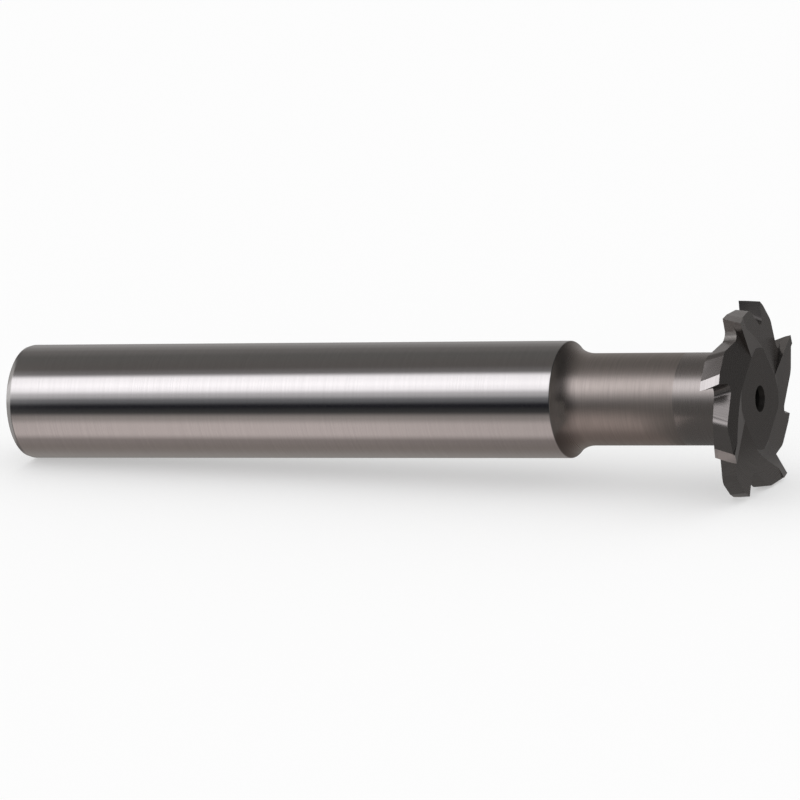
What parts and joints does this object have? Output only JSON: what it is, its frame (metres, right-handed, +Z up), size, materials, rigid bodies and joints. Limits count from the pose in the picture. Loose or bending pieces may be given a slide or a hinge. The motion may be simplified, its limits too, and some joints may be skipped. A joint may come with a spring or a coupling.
{
  "type": "t slot cutter",
  "caption": "Solid milling cutter with a plain round shank, a slimmer neck and a disc head of staggered teeth, for widening the foot of a T-shaped slot.",
  "frame": {"origin": "middle of the bounding box, on the surface that the cutter lies on", "axes": "+X from the shank's free end towards the head, +Z up; the tool's axis lies in the XZ plane and rises 2.47 degrees towards the head, because the cutter rests on two teeth and the edge of its shank's end"},
  "size_m": [0.0666, 0.015, 0.015],
  "materials": {
    "ground_tool_steel": "bright ground shank, satin ground neck, fine ground teeth and darker flutes"
  },
  "bodies": {
    "root": {"t_slot_cutter": "ground_tool_steel"}
  },
  "joints": []
}
